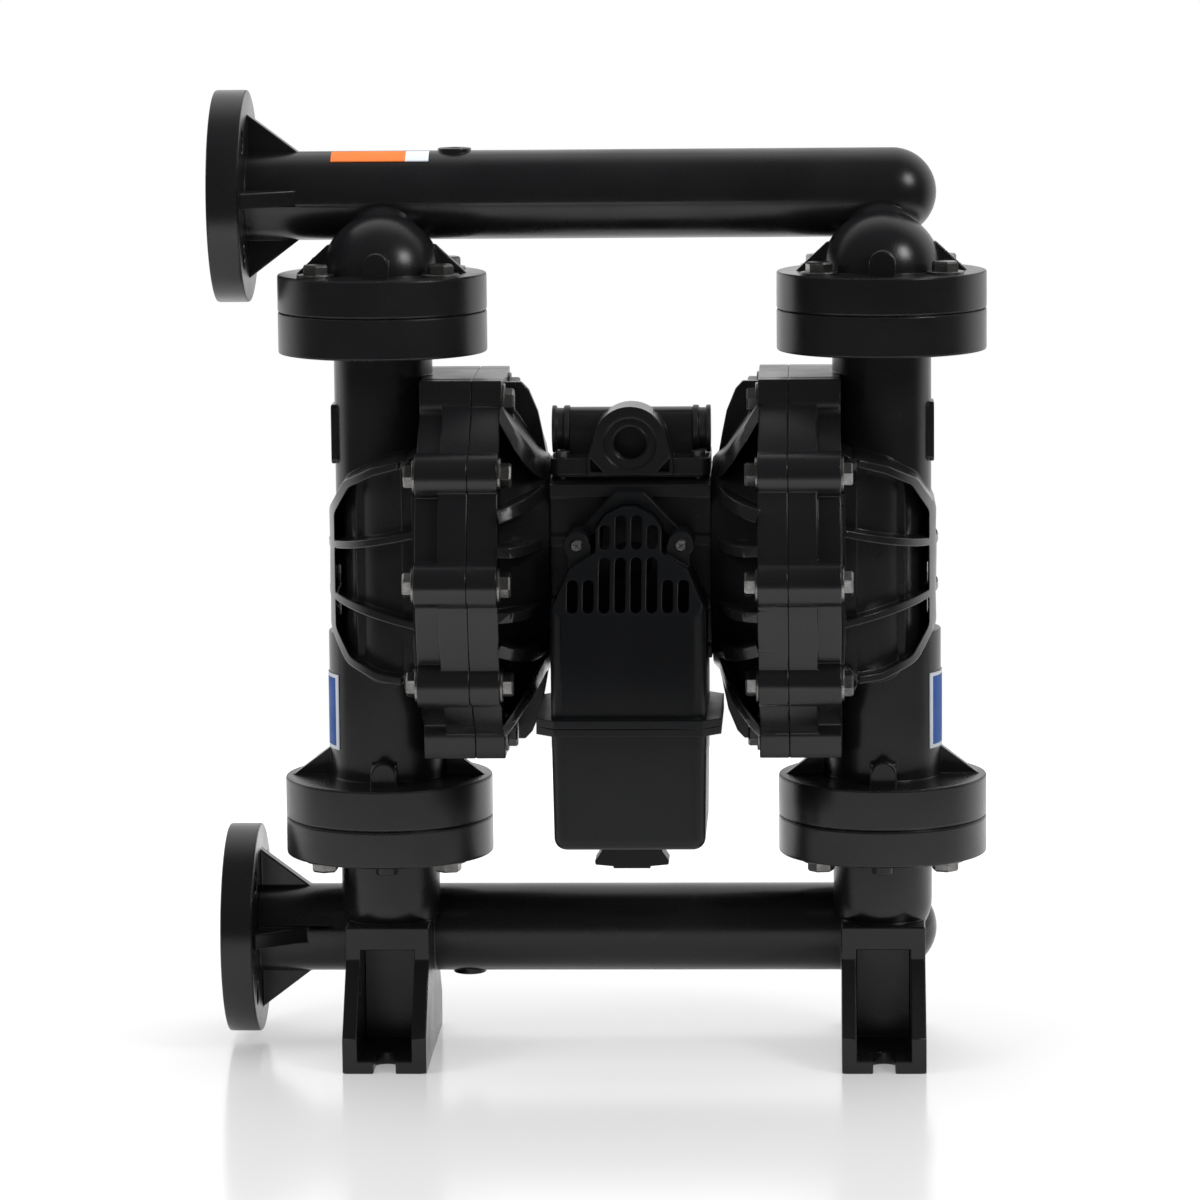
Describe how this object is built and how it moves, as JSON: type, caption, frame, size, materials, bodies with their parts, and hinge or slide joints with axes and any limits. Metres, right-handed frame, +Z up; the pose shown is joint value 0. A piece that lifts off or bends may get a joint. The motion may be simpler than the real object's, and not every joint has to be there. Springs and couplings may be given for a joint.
{
  "type": "air operated double diaphragm pump",
  "caption": "Plastic air operated diaphragm pump with flanged end ports on one side, bolted manifolds on feet, ribbed chambers, air valve and muffler on the front.",
  "frame": {"origin": "on the floor, midway between the centres of the four foot slots", "axes": "+X from the ports towards the closed pipe ends, +Z up, -Y towards the front with the air inlet and the muffler"},
  "size_m": [0.598, 0.307, 0.7529],
  "materials": {
    "black_plastic": "satin",
    "valve_plastic": "satin",
    "muffler_plastic": "matte",
    "steel": "brushed",
    "plug_plastic": "matte",
    "rubber": "matte",
    "ball_rubber": "matte",
    "seat_plastic": "matte",
    "plate_aluminium": "brushed",
    "bushing_plastic": "matte",
    "pin_steel": "polished",
    "blue_label": "satin",
    "strip_label": "satin"
  },
  "bodies": {
    "pump_body": {"air_cover_left": "black_plastic", "air_cover_right": "black_plastic", "air_valve_body": "valve_plastic", "center_housing": "black_plastic", "cover_bolts_left": "steel", "cover_bolts_right": "steel", "cover_nuts_left": "steel", "cover_nuts_right": "steel", "crown_bolts_left": "steel", "crown_bolts_right": "steel", "exhaust_deflector": "muffler_plastic", "fluid_cover_left": "black_plastic", "fluid_cover_right": "black_plastic", "inlet_bolts": "steel", "inlet_manifold": "black_plastic", "inlet_plug": "plug_plastic", "inlet_seat_left": "seat_plastic", "inlet_seat_right": "seat_plastic", "muffler_bowl": "muffler_plastic", "muffler_bracket": "muffler_plastic", "muffler_housing": "muffler_plastic", "muffler_screws": "steel", "outlet_bolts": "steel", "outlet_manifold": "black_plastic", "outlet_plug": "plug_plastic", "outlet_seat_left": "seat_plastic", "outlet_seat_right": "seat_plastic", "pilot_body_left": "bushing_plastic", "pilot_body_right": "bushing_plastic", "pipe_label": "strip_label", "seat_seals": "rubber", "shaft_bushing_left": "bushing_plastic", "shaft_bushing_right": "bushing_plastic", "shaft_seal_left": "rubber", "shaft_seal_right": "rubber", "side_label_left": "blue_label", "side_label_right": "blue_label", "valve_cap_left": "valve_plastic", "valve_cap_right": "valve_plastic", "valve_gasket": "rubber", "valve_screws": "steel"},
    "shaft_group": {"diaphragm_shaft": "steel", "air_plate_left": "plate_aluminium", "air_plate_right": "plate_aluminium", "fluid_plate_left": "seat_plastic", "fluid_plate_right": "seat_plastic", "diaphragm_left": "rubber", "diaphragm_right": "rubber"},
    "inlet_ball_left": {"inlet_ball_left": "ball_rubber"},
    "inlet_ball_right": {"inlet_ball_right": "ball_rubber"},
    "outlet_ball_left": {"outlet_ball_left": "ball_rubber"},
    "outlet_ball_right": {"outlet_ball_right": "ball_rubber"},
    "valve_spool": {"valve_spool": "plate_aluminium"},
    "pilot_pin_left": {"pilot_pin_left": "pin_steel"},
    "pilot_pin_right": {"pilot_pin_right": "pin_steel"}
  },
  "joints": [
    {"name": "shaft_slide", "type": "slide", "parent": "pump_body", "child": "shaft_group", "axis": [1, 0, 0], "range_m": [-0.02, 0.02], "deforming": ["diaphragm_left", "diaphragm_right"]},
    {"name": "inlet_ball_left_lift", "type": "slide", "parent": "pump_body", "child": "inlet_ball_left", "axis": [0, 0, 1], "range_m": [0, 0.014]},
    {"name": "inlet_ball_right_lift", "type": "slide", "parent": "pump_body", "child": "inlet_ball_right", "axis": [0, 0, 1], "range_m": [0, 0.014]},
    {"name": "outlet_ball_left_lift", "type": "slide", "parent": "pump_body", "child": "outlet_ball_left", "axis": [0, 0, 1], "range_m": [0, 0.014]},
    {"name": "outlet_ball_right_lift", "type": "slide", "parent": "pump_body", "child": "outlet_ball_right", "axis": [0, 0, 1], "range_m": [0, 0.014]},
    {"name": "spool_slide", "type": "slide", "parent": "pump_body", "child": "valve_spool", "axis": [1, 0, 0], "range_m": [-0.008, 0.008]},
    {"name": "pilot_pin_left_slide", "type": "slide", "parent": "pump_body", "child": "pilot_pin_left", "axis": [1, 0, 0], "range_m": [0, 0.004], "stiffness_N_per_m": 200, "springref_m": -0.004},
    {"name": "pilot_pin_right_slide", "type": "slide", "parent": "pump_body", "child": "pilot_pin_right", "axis": [-1, 0, 0], "range_m": [0, 0.004], "stiffness_N_per_m": 200, "springref_m": -0.004}
  ]
}
